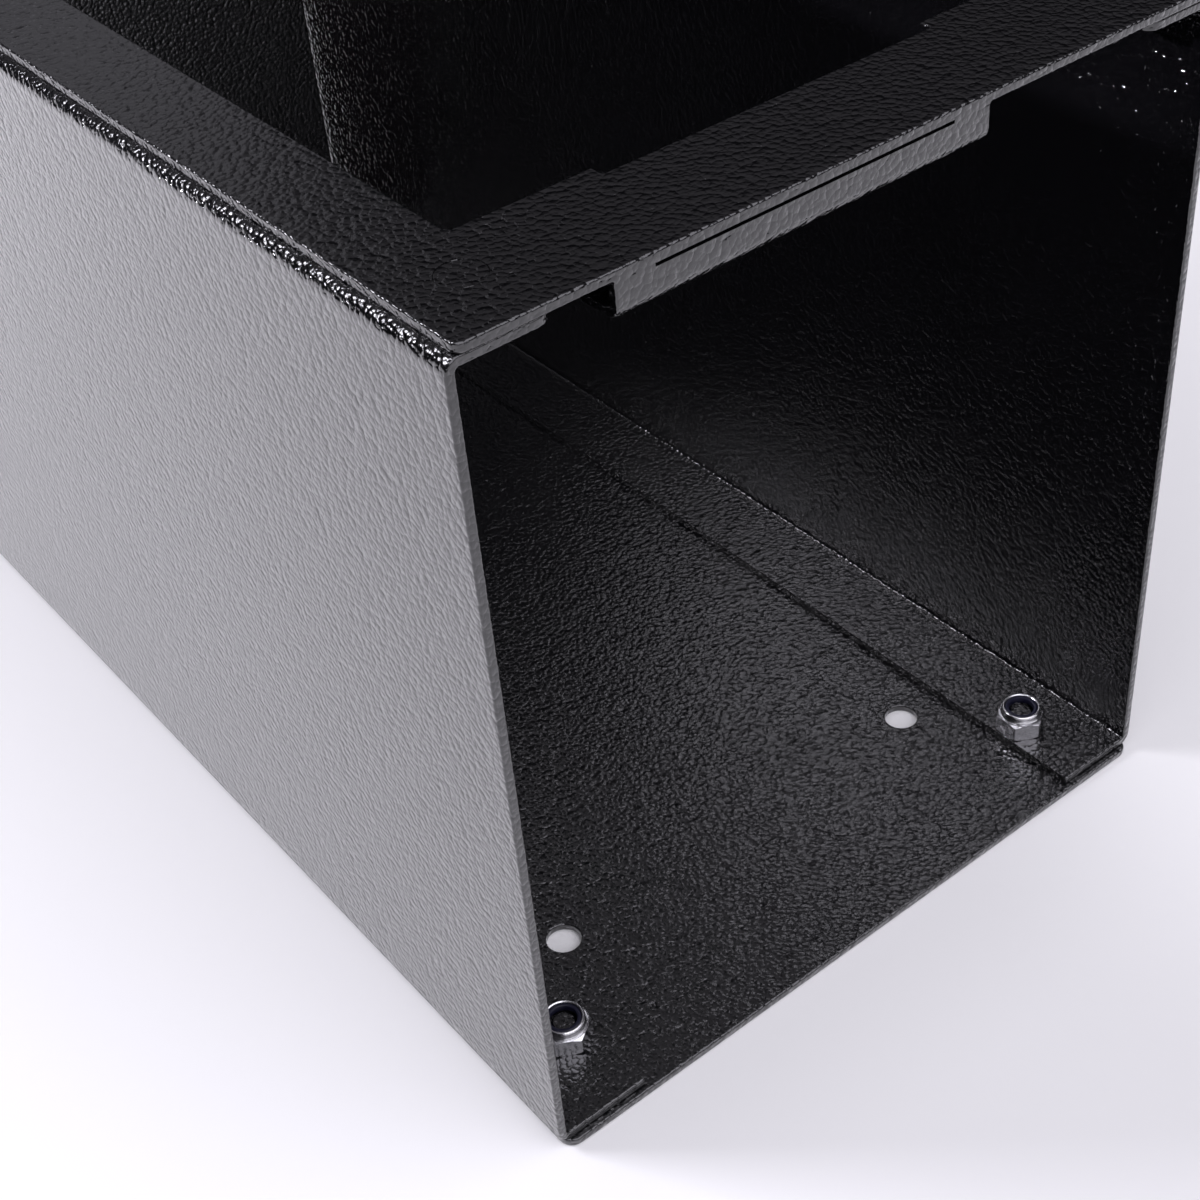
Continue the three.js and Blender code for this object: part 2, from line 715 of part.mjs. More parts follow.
function caseBody() {
  const nutSeat = 2 * sheet;
  const group = new THREE.Group();
  group.add(
    piece('bottom_plate', bottomPlate(), 'coat'),
    piece('left_wall', sideWall(-1), 'coat'),
    piece('right_wall', sideWall(1), 'coat'),
    piece('rear_wall', rearWall(), 'coat'),
    piece('top_frame', topFrame(), 'coat'),
    ...pieceSet('bottom_stud', stud(), 'coat', bottomStuds, 0),
    ...pieceSet('bottom_nut', lockNut(), 'zinc', bottomStuds, nutSeat),
    ...pieceSet('bottom_nylon', nylonRing(), 'nylon', bottomStuds, nutSeat),
    ...pieceSet('top_stud', stud(), 'coat', topStuds, frameTop, true),
    ...pieceSet('top_nut', lockNut(), 'zinc', topStuds, frameTop - nutSeat, true),
    ...pieceSet('top_nylon', nylonRing(), 'nylon', topStuds, frameTop - nutSeat, true),
    caseHinge(),
  );
  return group;
}

function lock() {
  const group = new THREE.Group();
  group.position.set(0, lockY, 0);
  group.add(
    piece('lock_housing', lockHousing(), 'nickel'),
    piece('lock_ring_nut', lockRingNut(), 'zinc'),
    piece('lock_plug', lockPlug(), 'nickel'),
    piece('key', key(), 'nickel'),
    piece('lock_cam', lockCam(), 'zinc'),
    piece('cam_washer', camWasher(), 'zinc'),
    piece('cam_screw', camScrew(), 'steel'),
  );
  return group;
}

function lid() {
  const leafHigh = lidUnder - clearance;
  const leafLow = leafHigh - leafThickness;
  const bumperX = lidHalf - sheet - bumperRadius - bumperGap;
  const bumperY = lidFront + sheet + bumperRadius + bumperGap;
  const bumperPlaces = sides.map(([name, sign]) => ({ name, at: [sign * bumperX, bumperY] }));
  const group = new THREE.Group();
  group.position.set(0, hingeY, hingeZ);
  group.rotation.x = -openAngle;
  group.add(
    piece('lid_panel', lidPanel(), 'coat'),
    piece('hinge_moving_leaf', hingeLeaf(1, -1, [leafLow, leafHigh]), 'coat'),
    ...rivetRow('moving_leaf_rivet', -rivetReach, lidTop + clearance, leafLow - clearance),
    ...pieceSet('lid_bumper', lidBumper(), 'rubber', bumperPlaces, 0),
    lock(),
  );
  return group;
}

const safe = new THREE.Group();
safe.add(caseBody(), lid());

export default safe;
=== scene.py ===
"""The looks of a console safe: its coated sheet steel, its lock nuts, its hinge and its lock."""
import json
import math
from contextlib import contextmanager

import bmesh
import bpy
from mathutils import Matrix, Vector


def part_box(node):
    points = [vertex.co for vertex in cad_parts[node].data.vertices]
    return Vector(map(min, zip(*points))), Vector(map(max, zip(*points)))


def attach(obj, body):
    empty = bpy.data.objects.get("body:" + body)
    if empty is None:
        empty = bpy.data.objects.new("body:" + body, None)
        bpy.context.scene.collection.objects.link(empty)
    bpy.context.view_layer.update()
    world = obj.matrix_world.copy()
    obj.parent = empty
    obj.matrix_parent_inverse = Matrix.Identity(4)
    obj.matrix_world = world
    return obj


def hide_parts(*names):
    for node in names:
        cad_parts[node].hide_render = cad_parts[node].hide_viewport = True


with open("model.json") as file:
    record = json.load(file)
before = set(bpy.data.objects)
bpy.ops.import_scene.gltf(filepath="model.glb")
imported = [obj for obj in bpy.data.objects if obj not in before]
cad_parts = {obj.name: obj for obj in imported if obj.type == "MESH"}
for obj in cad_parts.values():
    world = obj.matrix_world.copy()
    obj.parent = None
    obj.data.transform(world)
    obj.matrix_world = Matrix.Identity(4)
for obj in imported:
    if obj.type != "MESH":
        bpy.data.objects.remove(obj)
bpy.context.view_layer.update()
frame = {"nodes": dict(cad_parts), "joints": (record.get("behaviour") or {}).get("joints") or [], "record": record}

MM = 0.001
NEAR = 0.01 * MM

# Folded steel sheet
SHEET = 1.5 * MM
BEND = 2.2 * MM  # outside of a fold
FOLD_STEPS = 8
TOP_FLANGE = 15.5 * MM
TOP_FLANGE_CORNER = 2.5 * MM
FLANGE_END_GAP = 0.5 * MM  # side wall's flanges to the rear wall
REAR_FLANGE_SETBACK = 1 * MM  # rear wall's flanges to those of the side walls
EAR_GAP = 0.3 * MM  # rear wall's ears to the plates
PLATE_CORNER = 2.5 * MM
FRAME_CORNER = 1.5 * MM
CUT_EDGE = 0.36 * MM  # rounding that the coat leaves on a cut edge
WRINKLE_DRIFT = 0.8 * MM
WRINKLE_DEPTH = 0.11 * MM
MOUNTING_HOLE = 3 * MM
MOUNTING_INSET = 25.7 * MM
MOUNTING_SETBACK = 32.7 * MM

# Opening and catch lip of the top frame
SIDE_STRIP = 15.8 * MM
FRONT_STRIP = 21.4 * MM
REAR_STRIP = 28 * MM
RECESS_DEPTH = 2.3 * MM
RECESS_START = 37.6 * MM
LIP_START = 23.8 * MM
LIP_WIDTH = 61.6 * MM
LIP_DROP = 5.6 * MM
LIP_RETURN = 12 * MM
LIP_BEND = 2.2 * MM
SLOT_START = 6 * MM
SLOT_WIDTH = 49 * MM
SLOT_HEIGHT = 0.5 * MM

# Studs and lock nuts
STUD = 2.35 * MM
STUD_HOLE = 2.65 * MM
STUD_HEAD = 3.27 * MM
STUD_HEAD_HOLE = 3.34 * MM
STUD_HEAD_THICKNESS = 0.7 * MM
THREAD_PITCH = 0.8 * MM
THREAD_DEPTH = 0.3 * MM
STUD_TIP = 0.6 * MM  # chamfer of the end
NUT_FLATS = 8 * MM
NUT_HEX = 3.5 * MM
NUT_CHAMFER = 0.45 * MM
COLLAR = 3.55 * MM
COLLAR_WALL = 0.45 * MM
NYLON_BORE = 2.2 * MM
NYLON_SINK = 0.2 * MM
NYLON_LIP = 0.7 * MM

# Hinge
PIN = 1.2 * MM
PIN_BORE = 1.5 * MM
KNUCKLE = 2.5 * MM
KNUCKLES = 9
HINGE_GAP = 0.3 * MM
RIVETS = 4
RIVET_INSET = 8 * MM
RIVET_REACH = 10 * MM
RIVET_HOLE = 1.9 * MM
RIVET_SHANK = 1.6 * MM
RIVET_HEAD = 3 * MM
RIVET_HEAD_HEIGHT = 1 * MM
RIVET_TAIL = 2.6 * MM
RIVET_TAIL_HEIGHT = 1.2 * MM
LEAF_THICKNESS = 1 * MM
PIN_HEAD_THICKNESS = 0.8 * MM

# Lid and lock
LID_BEND = 2.5 * MM
HOUSING = 9.3 * MM
HOUSING_HOLE = 9.6 * MM
HOUSING_BORE = 7.3 * MM
HOUSING_FLANGE_HEIGHT = 2 * MM
HOUSING_THREAD = 1.25 * MM
POST = 3.2 * MM
GROOVE = 4.9 * MM
GROOVE_DEPTH = 6.5 * MM
KEY_TUBE = 4.6 * MM
KEY_BORE = 3.5 * MM
KEY_BOW_HEIGHT = 19 * MM
KEY_BOW_THICKNESS = 2.4 * MM
KEY_BOW_CORNER = 7 * MM
KEY_BOW_LAP = 1.5 * MM  # of the bow over its tube's end
KEY_HOLE = 3.6 * MM
KEY_HOLE_WALL = 3 * MM
CAM_WIDTH = 11 * MM
CAM_CORNER = 2 * MM
SQUARE = 6 * MM
SCREW_SHANK = 1.7 * MM
SCREW_HEAD_HEIGHT = 1.8 * MM
CROSS_LENGTH = 4 * MM
CROSS_WIDTH = 0.9 * MM
CROSS_DEPTH = 0.9 * MM

# Studio, in metres, watts and degrees
FLOOR_SIZE = 24
LAMP_COLOR = (0.93, 0.91, 1.0)
SUNS = (  # each with its azimuth, elevation, strength and spread
    ("top_softbox", 180, 60, 2.55, 86),
    ("front_softbox", -150, 34, 0.15, 60),
)
SOFTBOX_PLACE = Vector((-0.74, 0.70, 1.02))
SOFTBOX_AIM = Vector((-0.066, 0, 0.1))
SOFTBOX_SIZE = 0.42
SOFTBOX_POWER = 10.0
SPOT_PLACE = Vector((-0.64, 0.23, 0.28))
SPOT_AIM = Vector((0.066, -0.10, 0.13))
SPOT_POWER = 20.0
SPOT_CONE = 12
SPOT_RADIUS = 0.012
SKY_LOW = (0.27, (0.003, 0.003, 0.0033, 1.0))  # height and colour
SKY_HIGH = (0.9, (0.20, 0.192, 0.21, 1.0))

# The photograph's camera, fitted to the edges of the case
PHOTO_PIXELS = 1200
FOCAL_PIXELS = 1972
SENSOR = 36
CAMERA_PLACE = Vector((-158.0, -290.9, 259.3)) * MM
CAMERA_AZIMUTH = math.radians(-34.75)
CAMERA_ELEVATION = math.radians(39.48)
CAMERA_ROLL = math.radians(-5.75)

record = frame["record"]
body_of = {node: body for body, nodes in record["behaviour"]["bodies"].items() for node in nodes}
slot_of = {part["node"]: part["material_slot"] for part in record["subparts"]}
hinge = next(joint for joint in frame["joints"] if joint["name"] == "lid_hinge")
hinge_place = Matrix.Translation(hinge["pos_m"])
lid_place = hinge_place @ Matrix.Rotation(-math.radians(hinge["range_deg"][1]), 4, "X")


# Selecting and shaping

def take(*pieces):
    """Selects these pieces only, in object mode."""
    if bpy.context.object and bpy.context.object.mode != "OBJECT":
        bpy.ops.object.mode_set(mode="OBJECT")
    bpy.ops.object.select_all(action="DESELECT")
    for piece in pieces:
        piece.select_set(True)
        bpy.context.view_layer.objects.active = piece


@contextmanager
def editing(piece, kind="EDGE"):
    """Edit mode on one piece, with nothing selected at first."""
    take(piece)
    bpy.ops.object.mode_set(mode="EDIT")
    bpy.ops.mesh.select_mode(type=kind)
    bpy.ops.mesh.select_all(action="DESELECT")
    yield
    bpy.ops.object.mode_set(mode="OBJECT")


def pick_edges(piece, test):
    """Selects the edges whose two ends pass a test of their place."""
    bpy.ops.mesh.select_all(action="DESELECT")
    mesh = bmesh.from_edit_mesh(piece.data)
    for edge in mesh.edges:
        edge.select_set(all(test(end.co) for end in edge.verts))
    bmesh.update_edit_mesh(piece.data)


def pick_faces(piece, test):
    """Selects the faces that pass a test of their middle and their normal."""
    bpy.ops.mesh.select_all(action="DESELECT")
    mesh = bmesh.from_edit_mesh(piece.data)
    for face in mesh.faces:
        face.select_set(test(face.calc_center_median(), face.normal))
    bmesh.update_edit_mesh(piece.data)


def extrude(offset):
    bpy.ops.mesh.extrude_region_move(TRANSFORM_OT_translate={"value": tuple(offset)})


def close(one, other):
    return abs(one - other) < NEAR


def named(name):
    """The new primitive that is active, under its own name and with its size in its mesh."""
    piece = bpy.context.object
    piece.name = name
    piece.data.name = name
    bpy.ops.object.transform_apply(location=True, rotation=True, scale=True)
    return piece


def block(name, low, high):
    low, high = Vector(low), Vector(high)
    take()
    bpy.ops.mesh.primitive_cube_add(size=1, location=(low + high) / 2, scale=high - low)
    return named(name)


def flat(name, low, high):
    """A plane between two corners, square to one axis."""
    low, high = Vector(low), Vector(high)
    size = high - low
    across = size[:].index(min(size))
    turn = {0: (0, math.pi / 2, 0), 1: (math.pi / 2, 0, 0), 2: (0, 0, 0)}[across]
    take()
    bpy.ops.mesh.primitive_plane_add(size=1, location=(low + high) / 2, rotation=turn)
    bpy.context.object.scale = {
        0: (size.z, size.y, 1), 1: (size.x, size.z, 1), 2: (size.x, size.y, 1)}[across]
    return named(name)


def rod(name, radius, low, high, centre=(0, 0), sides=32):
    take()
    bpy.ops.mesh.primitive_cylinder_add(
        vertices=sides, radius=radius, depth=high - low,
        location=(centre[0], centre[1], (low + high) / 2))
    return named(name)


def axle(name, radius, low, high, sides=32):
    """A rod along X through the origin."""
    take()
    bpy.ops.mesh.primitive_cylinder_add(
        vertices=sides, radius=radius, depth=high - low,
        location=((low + high) / 2, 0, 0), rotation=(0, math.pi / 2, 0))
    return named(name)


def turned(name, profile, sides=48):
    """A ring about Z, extruded and resized from each radius and height to the next, and closed."""
    take()
    bpy.ops.mesh.primitive_circle_add(
        vertices=sides, radius=profile[0][0], location=(0, 0, profile[0][1]))
    piece = named(name)
    bpy.ops.object.mode_set(mode="EDIT")
    bpy.ops.mesh.select_mode(type="EDGE")
    bpy.ops.mesh.select_all(action="SELECT")
    for (radius, height), (next_radius, next_height) in zip(profile, profile[1:]):
        extrude((0, 0, next_height - height))
        wider = next_radius / radius
        bpy.ops.transform.resize(value=(wider, wider, 1), center_override=(0, 0, next_height))
    bpy.ops.mesh.select_all(action="SELECT")
    bpy.ops.mesh.remove_doubles(threshold=NEAR / 10)
    bpy.ops.mesh.fill_holes(sides=0)
    bpy.ops.mesh.select_all(action="SELECT")
    bpy.ops.mesh.normals_make_consistent(inside=False)
    bpy.ops.object.mode_set(mode="OBJECT")
    return piece


def apply(piece, modifier):
    take(piece)
    bpy.ops.object.modifier_apply(modifier=modifier.name)


def face_outwards(piece):
    with editing(piece, "FACE"):
        bpy.ops.mesh.select_all(action="SELECT")
        bpy.ops.mesh.normals_make_consistent(inside=False)


def thicken(piece):
    """Turns the middle of a folded sheet into the sheet."""
    face_outwards(piece)
    modifier = piece.modifiers.new("sheet", "SOLIDIFY")
    modifier.thickness = SHEET
    modifier.offset = 0
    modifier.use_even_offset = True
    apply(piece, modifier)
    face_outwards(piece)


def combine(piece, operation, tools):
    """Joins tools to a piece, or cuts them out of it."""
    for tool in tools:
        modifier = piece.modifiers.new("tool", "BOOLEAN")
        modifier.operation = operation
        modifier.solver = "EXACT"
        modifier.object = tool
        apply(piece, modifier)
        bpy.data.objects.remove(tool)


def weld(piece, *tools):
    combine(piece, "UNION", tools)


def cut(piece, *tools):
    combine(piece, "DIFFERENCE", tools)


def soften(piece, width=CUT_EDGE, steps=3):
    """Rounds every sharp edge, and keeps the flat faces flat to the light."""
    with editing(piece, "FACE"):
        bpy.ops.mesh.select_all(action="SELECT")
        bpy.ops.mesh.remove_doubles(threshold=NEAR / 10)
        bpy.ops.mesh.dissolve_limited(angle_limit=math.radians(0.5))
    rounding = piece.modifiers.new("edges", "BEVEL")
    rounding.width = width
    rounding.segments = steps
    rounding.limit_method = "ANGLE"
    rounding.angle_limit = math.radians(32)
    rounding.use_clamp_overlap = False
    rounding.miter_outer = "MITER_ARC"
    apply(piece, rounding)
    shade(piece)


def shade(piece, angle=40, weight=50):
    """Smooth shading over the small steps of curves, with the flat faces kept flat."""
    take(piece)
    bpy.ops.object.shade_smooth_by_angle(angle=math.radians(angle))
    weighting = piece.modifiers.new("normals", "WEIGHTED_NORMAL")
    weighting.weight = weight
    weighting.keep_sharp = True
    apply(piece, weighting)


def copied(piece, name, place):
    """A copy with a mesh of its own, put in place in that mesh."""
    copy = piece.copy()
    copy.data = piece.data.copy()
    copy.name = name
    copy.data.name = name
    copy.data.transform(place)
    bpy.context.scene.collection.objects.link(copy)
    return copy


def moved(piece, place):
    piece.data.transform(place)
    piece.data.update()
    return piece


def box_in(node, place):
    """A node's corners in the frame of what it is fixed to."""
    back = place.inverted()
    points = [back @ vertex.co for vertex in frame["nodes"][node].data.vertices]
    low = Vector(map(min, zip(*points)))
    high = Vector(map(max, zip(*points)))
    return low, high


# Materials

class Finish:
    """A material under construction: its shader and short ways to add nodes to it."""

    def __init__(self, name):
        self.material = bpy.data.materials.new(name)
        self.material.use_nodes = True
        self.tree = self.material.node_tree
        self.shader = self.tree.nodes["Principled BSDF"]
        self.coordinates = self.add("ShaderNodeTexCoord").outputs["Object"]

    def add(self, kind, **settings):
        node = self.tree.nodes.new(kind)
        for key, value in settings.items():
            setattr(node, key, value)
        return node

    def feed(self, socket, value):
        if isinstance(value, bpy.types.NodeSocket):
            self.tree.links.new(value, socket)
        else:
            socket.default_value = value

    def noise(self, scale, detail=2.0, roughness=0.5, vector=None):
        node = self.add("ShaderNodeTexNoise")
        self.feed(node.inputs["Vector"], vector or self.coordinates)
        node.inputs["Scale"].default_value = scale
        node.inputs["Detail"].default_value = detail
        node.inputs["Roughness"].default_value = roughness
        return node.outputs["Fac"]

    def lumps(self, scale, smoothness, vector=None):
        node = self.add("ShaderNodeTexVoronoi", feature="SMOOTH_F1")
        self.feed(node.inputs["Vector"], vector or self.coordinates)
        node.inputs["Scale"].default_value = scale
        node.inputs["Smoothness"].default_value = smoothness
        return node.outputs["Distance"]

    def math(self, operation, first, second=0.0):
        node = self.add("ShaderNodeMath", operation=operation)
        self.feed(node.inputs[0], first)
        self.feed(node.inputs[1], second)
        return node.outputs[0]

    def span(self, value, low, high, start=0.0, end=1.0):
        """Maps values from start to end on to the range from low to high."""
        node = self.add("ShaderNodeMapRange")
        self.feed(node.inputs["Value"], value)
        node.inputs["From Min"].default_value = start
        node.inputs["From Max"].default_value = end
        node.inputs["To Min"].default_value = low
        node.inputs["To Max"].default_value = high
        return node.outputs["Result"]

    def blend(self, share, first, second):
        node = self.add("ShaderNodeMix", data_type="RGBA")
        self.feed(node.inputs["Factor"], share)
        self.feed(node.inputs["A"], (*first, 1.0))
        self.feed(node.inputs["B"], (*second, 1.0))
        return node.outputs["Result"]

    def relief(self, height, depth, strength=1.0):
        node = self.add("ShaderNodeBump")
        self.feed(node.inputs["Height"], height)
        node.inputs["Distance"].default_value = depth
        node.inputs["Strength"].default_value = strength
        return node.outputs["Normal"]

    def set(self, **sockets):
        for name, value in sockets.items():
            self.feed(self.shader.inputs[name.replace("_", " ")], value)
        return self.material


def black_coat():
    """Black paint under lacquer, wrinkled like leather into domed lumps about a millimetre wide."""
    finish = Finish("black_coat")
    wander = finish.add("ShaderNodeTexNoise")
    finish.feed(wander.inputs["Vector"], finish.coordinates)
    wander.inputs["Scale"].default_value = 800
    drift = finish.add("ShaderNodeVectorMath", operation="MULTIPLY_ADD")
    finish.feed(drift.inputs[0], wander.outputs["Color"])
    drift.inputs[1].default_value = (WRINKLE_DRIFT,) * 3
    finish.feed(drift.inputs[2], finish.coordinates)
    lumps = finish.lumps(1050, 0.12, vector=drift.outputs[0])
    ripples = finish.noise(3000, detail=2.0, vector=drift.outputs[0])
    height = finish.math("MULTIPLY", finish.math("POWER", lumps, 2.0), -1.5)
    height = finish.math("ADD", height, finish.math("MULTIPLY", ripples, 0.3))
    cloud = finish.noise(38, detail=3.0)
    wrinkles = finish.relief(height, WRINKLE_DEPTH)
    return finish.set(
        Base_Color=finish.blend(cloud, (0.0022, 0.0021, 0.0026), (0.0036, 0.0035, 0.0043)),
        Roughness=finish.span(lumps, 0.20, 0.10, 0.15, 0.6),
        IOR=1.55,
        Normal=wrinkles,
        Coat_Weight=1.0,
        Coat_Roughness=0.08,
        Coat_IOR=1.5,
        Coat_Normal=wrinkles,
    )


def zinc():
    """Bright zinc plate, with fine tool marks and a faint haze."""
    finish = Finish("zinc")
    haze = finish.noise(900, detail=3.0)
    marks = finish.noise(5200, detail=1.0)
    return finish.set(
        Base_Color=finish.blend(haze, (0.66, 0.66, 0.68), (0.86, 0.86, 0.88)),
        Metallic=1.0,
        Roughness=finish.span(haze, 0.12, 0.26, 0.3, 0.7),
        Normal=finish.relief(marks, 0.02 * MM, 0.5),
    )


def nylon():
    """Dark blue nylon, slightly waxy."""
    finish = Finish("nylon")
    cloud = finish.noise(700, detail=2.0)
    return finish.set(
        Base_Color=finish.blend(cloud, (0.004, 0.0042, 0.014), (0.007, 0.0075, 0.026)),
        Roughness=finish.span(cloud, 0.28, 0.42),
        Normal=finish.relief(finish.noise(2600), 0.03 * MM, 0.5),
    )


def steel():
    """Plain drawn steel with a dull skin."""
    finish = Finish("steel")
    skin = finish.noise(520, detail=4.0, roughness=0.6)
    return finish.set(
        Base_Color=finish.blend(skin, (0.30, 0.30, 0.31), (0.52, 0.52, 0.54)),
        Metallic=1.0,
        Roughness=finish.span(skin, 0.26, 0.46, 0.3, 0.7),
        Normal=finish.relief(finish.noise(3800), 0.02 * MM, 0.6),
    )


def nickel():
    """Satin nickel plate with a faint warm cast."""
    finish = Finish("nickel")
    cloud = finish.noise(260, detail=3.0)
    brushing = finish.noise(6400, detail=1.0)
    return finish.set(
        Base_Color=finish.blend(cloud, (0.62, 0.60, 0.57), (0.76, 0.74, 0.70)),
        Metallic=1.0,
        Roughness=finish.span(cloud, 0.16, 0.28, 0.3, 0.7),
        Normal=finish.relief(brushing, 0.01 * MM, 0.5),
    )


def rubber():
    """Matte black rubber with moulding grain."""
    finish = Finish("rubber")
    grain = finish.noise(2400, detail=3.0)
    return finish.set(
        Base_Color=finish.blend(grain, (0.014, 0.014, 0.014), (0.030, 0.030, 0.030)),
        Roughness=finish.span(grain, 0.7, 0.9),
        Normal=finish.relief(grain, 0.03 * MM, 0.7),
    )


materials = {make.__name__: make() for make in (black_coat, zinc, nylon, steel, nickel, rubber)}


def dress(piece, node):
    """Gives a finished piece its node's material and body, and hides the node."""
    piece.data.materials.clear()
    piece.data.materials.append(materials[slot_of[node]])
    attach(piece, body_of[node])
    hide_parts(node)


# Folded case

def stud_middles(stem):
    """The places of the studs whose nodes' names start with a stem."""
    nodes = [node for node in frame["nodes"] if node.startswith(stem)]
    return [sum(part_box(node), Vector()).to_2d() / 2 for node in nodes]


def stud_drills(stem, low, high):
    """Cutters for the studs of one plate and for what lies on it."""
    return [rod("drill", STUD_HOLE, low - SHEET / 2, high + SHEET / 2, at, 24)
            for at in stud_middles(stem)]


def rivet_middles():
    length = 2 * box_in("hinge_fixed_leaf", hinge_place)[1].x
    span = length - 2 * RIVET_INSET
    return [-span / 2 + span * i / (RIVETS - 1) for i in range(RIVETS)]


def rivet_drills(y, low, high):
    return [rod("drill", RIVET_HOLE, low - SHEET / 2, high + SHEET / 2, (x, y), 24)
            for x in rivet_middles()]


def bottom_plate():
    low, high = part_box("bottom_plate")
    case_low, case_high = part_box("left_wall")[0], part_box("right_wall")[1]
    plate = block("bottom_plate_panel", low, high)
    with editing(plate):
        corner_edges(plate)
        bpy.ops.mesh.bevel(offset=PLATE_CORNER, segments=6, affect="EDGES")
    across = case_high.x - MOUNTING_INSET
    mounting = [
        rod("drill", MOUNTING_HOLE, low.z - SHEET, high.z + SHEET, (x, y), 32)
        for x in (-across, across)
        for y in (case_low.y + MOUNTING_SETBACK, case_high.y - MOUNTING_SETBACK)]
    cut(plate, *mounting)
    soften(plate)
    cut(plate, *stud_drills("bottom_stud", low.z, high.z), *[
        rod("drill", STUD_HEAD_HOLE, low.z - SHEET, low.z + STUD_HEAD_THICKNESS, at, 48)
        for at in stud_middles("bottom_stud")])
    shade(plate)
    return plate


def corner_edges(piece):
    """Selects the upright edges at the four corners of a block."""
    mesh = bmesh.from_edit_mesh(piece.data)
    for edge in mesh.edges:
        a, b = (end.co for end in edge.verts)
        edge.select_set(close(a.x, b.x) and close(a.y, b.y))
    bmesh.update_edit_mesh(piece.data)


def side_wall(node):
    """A side wall: a sheet with an inward flange folded along its top and its bottom."""
    low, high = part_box(node)
    inward = 1 if high.x < 0 else -1
    face, tip = (low.x, high.x) if inward > 0 else (high.x, low.x)
    middle = face + inward * SHEET / 2
    bottom, top = low.z + SHEET / 2, high.z - SHEET / 2
    wall = flat(f"{node}_panel", (middle, low.y, bottom), (middle, high.y, top))
    top_tip = face + inward * TOP_FLANGE
    with editing(wall):
        pick_edges(wall, lambda at: close(at.z, bottom))
        extrude((tip - middle, 0, 0))
        pick_edges(wall, lambda at: close(at.z, top))
        extrude((top_tip - middle, 0, 0))
        pick_edges(wall, lambda at: close(at.x, middle) and close(at.z, bottom))
        bpy.ops.mesh.bevel(offset=BEND - SHEET / 2, segments=FOLD_STEPS, affect="EDGES")
        pick_edges(wall, lambda at: close(at.x, middle) and close(at.z, top))
        bpy.ops.mesh.bevel(offset=BEND - SHEET / 2, segments=FOLD_STEPS, affect="EDGES")
    thicken(wall)
    with editing(wall):
        pick_edges(wall, lambda at: close(at.x, top_tip) and close(at.y, low.y) and at.z > top - SHEET)
        bpy.ops.mesh.bevel(offset=TOP_FLANGE_CORNER, segments=6, affect="EDGES")
    inner = face + inward * SHEET
    room = sorted((inner, tip + inward * SHEET))
    notch = block(
        "notch", (room[0], high.y - SHEET - FLANGE_END_GAP, low.z - SHEET),
        (room[1], high.y + SHEET, high.z + SHEET))
    beside = [at for at in stud_middles("bottom_stud") if at.x * inward < 0]
    above = [at for at in stud_middles("top_stud") if at.x * inward < 0]
    holes = [rod("drill", STUD_HOLE, low.z - SHEET, low.z + 2 * SHEET, at, 24) for at in beside]
    holes += [rod("drill", STUD_HOLE, high.z - 2 * SHEET, high.z + SHEET, at, 24) for at in above]
    cut(wall, *holes)
    soften(wall)
    cut(wall, notch)
    shade(wall)
    return wall


def rear_wall():
    """The rear wall: a sheet with a flange along its top and bottom between two flat ears."""
    low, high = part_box("rear_wall")
    floor_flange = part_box("left_wall")[1].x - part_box("left_wall")[0].x
    flange_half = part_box("right_wall")[1].x - floor_flange - REAR_FLANGE_SETBACK
    middle = high.y - SHEET / 2
    bottom, top = low.z + SHEET / 2, high.z - SHEET / 2
    wall = flat("rear_wall_panel", (-flange_half, middle, bottom), (flange_half, middle, top))
    with editing(wall):
        pick_edges(wall, lambda at: close(at.z, bottom))
        extrude((0, low.y - middle, 0))
        pick_edges(wall, lambda at: close(at.z, top))
        extrude((0, high.y - TOP_FLANGE - middle, 0))
        for fold in (bottom, top):
            pick_edges(wall, lambda at: close(at.y, middle) and close(at.z, fold))
            bpy.ops.mesh.bevel(offset=BEND - SHEET / 2, segments=FOLD_STEPS, affect="EDGES")
    thicken(wall)
    drills = [rod("drill", STUD_HOLE, low.z - SHEET, low.z + 2 * SHEET, at, 24)
              for at in stud_middles("bottom_stud_back")]
    drills += rivet_drills(hinge["pos_m"][1] + RIVET_REACH, high.z - SHEET, high.z)
    cut(wall, *drills)
    soften(wall)
    for near, far in ((-flange_half, low.x), (flange_half, high.x)):
        inside = near - math.copysign(MM, near)
        cheek = block("cheek", (min(inside, far), high.y - SHEET, low.z + BEND),
                      (max(inside, far), high.y, high.z - BEND))
        ear = block("ear", (min(near, far), high.y - SHEET, low.z + EAR_GAP),
                    (max(near, far), high.y, high.z - EAR_GAP))
        soften(ear)
        weld(wall, cheek, ear)
    shade(wall)
    return wall


def opening_cutters(low, high):
    """What is cut out of the top frame: the opening, and its longer middle part."""
    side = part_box("right_wall")[1].x
    front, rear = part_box("left_wall")[0].y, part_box("left_wall")[1].y
    half = side - SIDE_STRIP
    recess = side - RECESS_START
    opening = block(
        "opening", (-half, front + FRONT_STRIP, low.z - SHEET), (half, rear - REAR_STRIP, high.z))
    with editing(opening):
        corner_edges(opening)
        bpy.ops.mesh.bevel(offset=MM, segments=4, affect="EDGES")
    longer = block(
        "recess", (-recess, front + FRONT_STRIP - RECESS_DEPTH, low.z - SHEET),
        (recess, front + FRONT_STRIP + MM, high.z))
    return opening, longer


